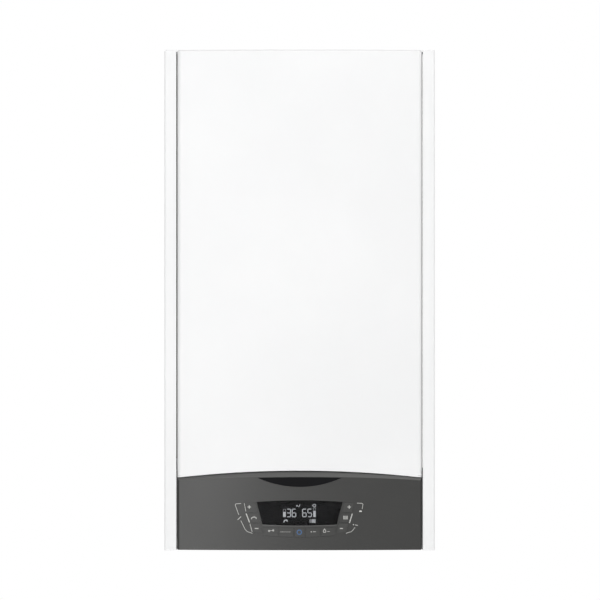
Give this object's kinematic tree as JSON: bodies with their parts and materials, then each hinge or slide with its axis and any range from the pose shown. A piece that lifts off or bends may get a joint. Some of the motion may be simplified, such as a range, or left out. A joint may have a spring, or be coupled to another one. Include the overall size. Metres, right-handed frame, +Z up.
{
  "type": "combi boiler",
  "caption": "Wall-hung combi boiler with a bowed white cover over a grey control panel with a display and keys; cover lifts off, panel tilts down.",
  "frame": {"origin": "on the wall face, midway between the two wall screws of the hanging bracket", "axes": "+X to the right as the front is seen, +Y into the wall, +Z up"},
  "size_m": [0.4, 0.3195, 0.74],
  "materials": {
    "white_enamel": "satin white powder coat",
    "zinc_steel": "zinc-coated sheet",
    "grey_plastic": "fine satin grey",
    "black_gloss": "polished black",
    "smoked_window": "smoked clear plastic",
    "black_plastic": "moulded black",
    "circuit_board": "green laminate",
    "box_plastic": "moulded dark grey",
    "vessel_paint": "satin red",
    "stainless": "brushed stainless",
    "cast_aluminium": "as cast",
    "motor_black": "satin black",
    "copper_tube": "bright copper",
    "brass": "machined brass",
    "grey_moulding": "light grey moulding"
  },
  "bodies": {
    "casing": {"left_side_panel": "white_enamel", "right_side_panel": "white_enamel", "wall_bracket": "zinc_steel", "rear_frame": "zinc_steel", "top_plate": "zinc_steel", "base_plate": "zinc_steel", "front_crossbar": "zinc_steel", "cover_screws": "zinc_steel", "door_nuts": "zinc_steel", "diverter_actuator": "black_plastic", "cable_glands": "black_plastic", "vessel_hose": "black_plastic", "expansion_vessel": "vessel_paint", "exchanger_shell": "stainless", "exchanger_coil": "stainless", "electrodes": "stainless", "plate_exchanger": "stainless", "burner": "cast_aluminium", "gas_air_manifold": "cast_aluminium", "fan_housing": "cast_aluminium", "venturi": "cast_aluminium", "gas_valve": "cast_aluminium", "fan_motor": "motor_black", "pump_motor": "motor_black", "flow_pipe": "copper_tube", "return_pipe": "copper_tube", "gas_pipe": "copper_tube", "flow_group": "brass", "return_group": "brass", "pipe_tails": "brass", "air_vent": "brass", "flue_duct": "grey_moulding", "flue_collar": "grey_moulding", "condensate_hose": "grey_moulding", "condensate_trap": "grey_moulding"},
    "front_cover": {"front_cover": "white_enamel"},
    "control_panel": {"facia": "grey_plastic", "badge_insert": "black_gloss", "display_window": "smoked_window", "lcd_module": "black_plastic", "key_board": "circuit_board", "control_box": "box_plastic", "control_box_lid": "box_plastic", "main_board": "circuit_board"},
    "fan_rotor": {"fan_impeller": "black_plastic"},
    "pump_rotor": {"pump_impeller": "grey_moulding"},
    "diverter": {"diverter_stem": "brass"},
    "relief_valve_knob": {"relief_knob": "black_plastic"},
    "filling_valve_knob": {"filling_knob": "black_plastic"},
    "key_water_plus": {"key_water_plus": "grey_plastic"},
    "key_water_mode": {"key_water_mode": "grey_plastic"},
    "key_water_minus": {"key_water_minus": "grey_plastic"},
    "key_heating_plus": {"key_heating_plus": "grey_plastic"},
    "key_heating_mode": {"key_heating_mode": "grey_plastic"},
    "key_heating_minus": {"key_heating_minus": "grey_plastic"},
    "key_reset": {"key_reset": "grey_plastic"},
    "key_menu": {"key_menu": "grey_plastic"},
    "key_auto": {"key_auto": "grey_plastic"},
    "key_back": {"key_back": "grey_plastic"},
    "key_test": {"key_test": "grey_plastic"}
  },
  "joints": [
    {"name": "cover_lift", "type": "slide", "parent": "casing", "child": "front_cover", "axis": [0, 0, 1], "range_m": [0, 0.65]},
    {"name": "panel_tilt", "type": "hinge", "parent": "casing", "child": "control_panel", "pos_m": [0, -0.25, -0.658], "axis": [1, 0, 0], "range_deg": [0, 85]},
    {"name": "key_water_plus_press", "type": "slide", "parent": "control_panel", "child": "key_water_plus", "axis": [0, 1, 0], "range_m": [0, 0.0007], "stiffness_N_per_m": 1200, "springref_m": -0.0003},
    {"name": "key_water_mode_press", "type": "slide", "parent": "control_panel", "child": "key_water_mode", "axis": [0, 1, 0], "range_m": [0, 0.0007], "stiffness_N_per_m": 1200, "springref_m": -0.0003},
    {"name": "key_water_minus_press", "type": "slide", "parent": "control_panel", "child": "key_water_minus", "axis": [0, 1, 0], "range_m": [0, 0.0007], "stiffness_N_per_m": 1200, "springref_m": -0.0003},
    {"name": "key_heating_plus_press", "type": "slide", "parent": "control_panel", "child": "key_heating_plus", "axis": [0, 1, 0], "range_m": [0, 0.0007], "stiffness_N_per_m": 1200, "springref_m": -0.0003},
    {"name": "key_heating_mode_press", "type": "slide", "parent": "control_panel", "child": "key_heating_mode", "axis": [0, 1, 0], "range_m": [0, 0.0007], "stiffness_N_per_m": 1200, "springref_m": -0.0003},
    {"name": "key_heating_minus_press", "type": "slide", "parent": "control_panel", "child": "key_heating_minus", "axis": [0, 1, 0], "range_m": [0, 0.0007], "stiffness_N_per_m": 1200, "springref_m": -0.0003},
    {"name": "key_reset_press", "type": "slide", "parent": "control_panel", "child": "key_reset", "axis": [0, 1, 0], "range_m": [0, 0.0007], "stiffness_N_per_m": 1200, "springref_m": -0.0003},
    {"name": "key_menu_press", "type": "slide", "parent": "control_panel", "child": "key_menu", "axis": [0, 1, 0], "range_m": [0, 0.0007], "stiffness_N_per_m": 1200, "springref_m": -0.0003},
    {"name": "key_auto_press", "type": "slide", "parent": "control_panel", "child": "key_auto", "axis": [0, 1, 0], "range_m": [0, 0.0007], "stiffness_N_per_m": 1200, "springref_m": -0.0003},
    {"name": "key_back_press", "type": "slide", "parent": "control_panel", "child": "key_back", "axis": [0, 1, 0], "range_m": [0, 0.0007], "stiffness_N_per_m": 1200, "springref_m": -0.0003},
    {"name": "key_test_press", "type": "slide", "parent": "control_panel", "child": "key_test", "axis": [0, 1, 0], "range_m": [0, 0.0007], "stiffness_N_per_m": 1200, "springref_m": -0.0003},
    {"name": "fan_spin", "type": "hinge", "parent": "casing", "child": "fan_rotor", "pos_m": [0.10496, -0.1925, -0.32991], "axis": [0, 1, 0], "continuous": true},
    {"name": "pump_spin", "type": "hinge", "parent": "casing", "child": "pump_rotor", "pos_m": [0.13, -0.083, -0.552], "axis": [0, 1, 0], "continuous": true},
    {"name": "diverter_stroke", "type": "slide", "parent": "casing", "child": "diverter", "axis": [0, 0, 1], "range_m": [0, 0.006]},
    {"name": "relief_turn", "type": "hinge", "parent": "casing", "child": "relief_valve_knob", "pos_m": [-0.098, -0.15, -0.54], "axis": [0, 1, 0], "range_deg": [0, 90]},
    {"name": "filling_turn", "type": "hinge", "parent": "casing", "child": "filling_valve_knob", "pos_m": [0.0975, -0.095, -0.66], "axis": [0, 0, 1], "range_deg": [0, 180]}
  ]
}
